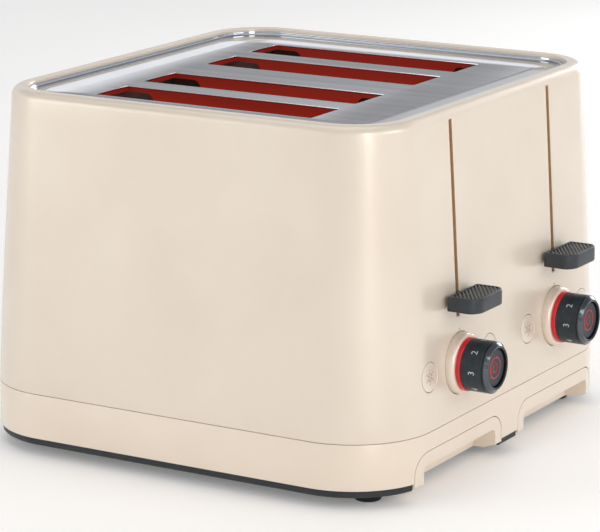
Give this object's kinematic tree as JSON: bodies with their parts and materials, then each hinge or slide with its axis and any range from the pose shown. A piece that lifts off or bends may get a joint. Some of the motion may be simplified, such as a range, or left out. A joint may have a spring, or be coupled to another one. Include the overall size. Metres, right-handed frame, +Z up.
{
  "type": "pop-up toaster",
  "caption": "Wide pop-up toaster with long bread slots in paired wells, a lift lever and browning knob for each pair, and pull-out crumb trays.",
  "frame": {"origin": "under the middle of the bounding box, on the plane the feet stand on", "axes": "+Z up; the control face with the levers, knobs and trays looks along -Y; +X is to the right as seen from that face; the slots run along Y"},
  "size_m": [0.2856, 0.2988, 0.2064],
  "materials": {
    "cream_casing": "satin pearl cream",
    "cream_gloss": "glossy cream",
    "black_plastic": "matte black",
    "rubber": "matte",
    "brushed_steel": "fine brushed",
    "glowing_steel": "steel lit red by the heaters",
    "chassis_steel": "galvanised sheet",
    "reflector_steel": "bright heat reflector",
    "heater_mica": "mica sheet with glowing ribbons",
    "wire_steel": "plated wire",
    "spring_steel": "drawn wire",
    "slate_plastic": "satin slate grey",
    "knob_black": "satin black",
    "chrome": "polished",
    "red_lens": "glossy red, lit",
    "copper_coil": "enamelled copper winding",
    "board": "green circuit board",
    "screw_steel": "zinc plated"
  },
  "bodies": {
    "body": {"body_shell": "cream_casing", "skirt": "cream_gloss", "base_plate": "black_plastic", "cord_gland": "black_plastic", "top_plate": "brushed_steel", "chassis_front": "chassis_steel", "chassis_rear": "chassis_steel", "control_board": "board", "foot_front_left": "rubber", "foot_screw_front_left": "screw_steel", "foot_rear_left": "rubber", "foot_screw_rear_left": "screw_steel", "slot_lining_left": "glowing_steel", "heat_shield_left": "reflector_steel", "heater_left_inner": "heater_mica", "heater_left_middle": "heater_mica", "heater_left_outer": "heater_mica", "guide_rod_left": "chrome", "return_spring_left": "spring_steel", "latch_magnet_left": "copper_coil", "knob_collar_left": "cream_gloss", "light_ring_left": "red_lens", "foot_front_right": "rubber", "foot_screw_front_right": "screw_steel", "foot_rear_right": "rubber", "foot_screw_rear_right": "screw_steel", "slot_lining_right": "glowing_steel", "heat_shield_right": "reflector_steel", "heater_right_inner": "heater_mica", "heater_right_middle": "heater_mica", "heater_right_outer": "heater_mica", "guide_rod_right": "chrome", "return_spring_right": "spring_steel", "latch_magnet_right": "copper_coil", "knob_collar_right": "cream_gloss", "light_ring_right": "red_lens"},
    "lever_left": {"carriage_left": "chassis_steel", "lever_handle_left": "slate_plastic", "bread_rack_left": "wire_steel"},
    "guides_left_a": {"bread_guide_left_a": "wire_steel"},
    "guides_left_b": {"bread_guide_left_b": "wire_steel"},
    "knob_left": {"knob_barrel_left": "knob_black", "knob_bezel_left": "chrome"},
    "stop_left": {"stop_button_left": "knob_black"},
    "button_left_a": {"function_button_left_a": "cream_casing"},
    "button_left_b": {"function_button_left_b": "cream_casing"},
    "tray_left": {"tray_handle_left": "cream_gloss", "crumb_pan_left": "brushed_steel"},
    "lever_right": {"carriage_right": "chassis_steel", "lever_handle_right": "slate_plastic", "bread_rack_right": "wire_steel"},
    "guides_right_a": {"bread_guide_right_a": "wire_steel"},
    "guides_right_b": {"bread_guide_right_b": "wire_steel"},
    "knob_right": {"knob_barrel_right": "knob_black", "knob_bezel_right": "chrome"},
    "stop_right": {"stop_button_right": "knob_black"},
    "button_right_a": {"function_button_right_a": "cream_casing"},
    "button_right_b": {"function_button_right_b": "cream_casing"},
    "tray_right": {"tray_handle_right": "cream_gloss", "crumb_pan_right": "brushed_steel"}
  },
  "joints": [
    {"name": "lever_lift_left", "type": "slide", "parent": "body", "child": "lever_left", "axis": [0, 0, 1], "range_m": [0, 0.093], "deforming": ["return_spring_left"]},
    {"name": "guide_spread_left_a", "type": "slide", "parent": "body", "child": "guides_left_a", "axis": [-1, 0, 0], "range_m": [0, 0.0045]},
    {"name": "guide_spread_left_b", "type": "slide", "parent": "body", "child": "guides_left_b", "axis": [1, 0, 0], "range_m": [0, 0.0045]},
    {"name": "knob_turn_left", "type": "hinge", "parent": "body", "child": "knob_left", "pos_m": [-0.05865, -0.12616, 0.0665], "axis": [0, 1, 0], "range_deg": [-24, 246]},
    {"name": "stop_press_left", "type": "slide", "parent": "knob_left", "child": "stop_left", "axis": [0, 1, 0], "range_m": [0, 0.0012], "stiffness_N_per_m": 600},
    {"name": "button_press_left_a", "type": "slide", "parent": "body", "child": "button_left_a", "axis": [0, 1, 0], "range_m": [0, 0.001], "stiffness_N_per_m": 600},
    {"name": "button_press_left_b", "type": "slide", "parent": "body", "child": "button_left_b", "axis": [0, 1, 0], "range_m": [0, 0.001], "stiffness_N_per_m": 600},
    {"name": "tray_pull_left", "type": "slide", "parent": "body", "child": "tray_left", "axis": [0, -1, 0], "range_m": [0, 0.2]},
    {"name": "lever_lift_right", "type": "slide", "parent": "body", "child": "lever_right", "axis": [0, 0, 1], "range_m": [0, 0.093], "deforming": ["return_spring_right"]},
    {"name": "guide_spread_right_a", "type": "slide", "parent": "body", "child": "guides_right_a", "axis": [-1, 0, 0], "range_m": [0, 0.0045]},
    {"name": "guide_spread_right_b", "type": "slide", "parent": "body", "child": "guides_right_b", "axis": [1, 0, 0], "range_m": [0, 0.0045]},
    {"name": "knob_turn_right", "type": "hinge", "parent": "body", "child": "knob_right", "pos_m": [0.05865, -0.12616, 0.0665], "axis": [0, 1, 0], "range_deg": [-24, 246]},
    {"name": "stop_press_right", "type": "slide", "parent": "knob_right", "child": "stop_right", "axis": [0, 1, 0], "range_m": [0, 0.0012], "stiffness_N_per_m": 600},
    {"name": "button_press_right_a", "type": "slide", "parent": "body", "child": "button_right_a", "axis": [0, 1, 0], "range_m": [0, 0.001], "stiffness_N_per_m": 600},
    {"name": "button_press_right_b", "type": "slide", "parent": "body", "child": "button_right_b", "axis": [0, 1, 0], "range_m": [0, 0.001], "stiffness_N_per_m": 600},
    {"name": "tray_pull_right", "type": "slide", "parent": "body", "child": "tray_right", "axis": [0, -1, 0], "range_m": [0, 0.2]}
  ],
  "couplings": [
    {"joint": "guide_spread_left_a", "follows": "lever_lift_left", "ratio": 0.048},
    {"joint": "guide_spread_left_b", "follows": "lever_lift_left", "ratio": 0.048},
    {"joint": "guide_spread_right_a", "follows": "lever_lift_right", "ratio": 0.048},
    {"joint": "guide_spread_right_b", "follows": "lever_lift_right", "ratio": 0.048}
  ]
}
